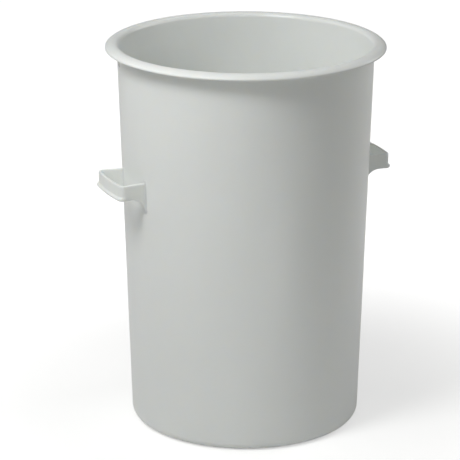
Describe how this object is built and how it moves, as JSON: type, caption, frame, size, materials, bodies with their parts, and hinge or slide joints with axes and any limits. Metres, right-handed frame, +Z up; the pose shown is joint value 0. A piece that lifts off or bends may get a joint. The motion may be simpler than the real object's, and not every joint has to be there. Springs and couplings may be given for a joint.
{
  "type": "open head drum",
  "caption": "Tapered open-top plastic drum with a flared rim, a raised base and two open loop handles on opposite sides.",
  "frame": {"origin": "centre of the face the drum stands on", "axes": "+Z up along the drum's axis, towards the open end; +X through the right handle; -Y is the front"},
  "size_m": [0.5412, 0.5, 0.7],
  "materials": {
    "natural_hdpe": "satin",
    "handle_hdpe": "satin"
  },
  "bodies": {
    "root": {"drum_body": "natural_hdpe", "left_handle": "handle_hdpe", "right_handle": "handle_hdpe"}
  },
  "joints": []
}
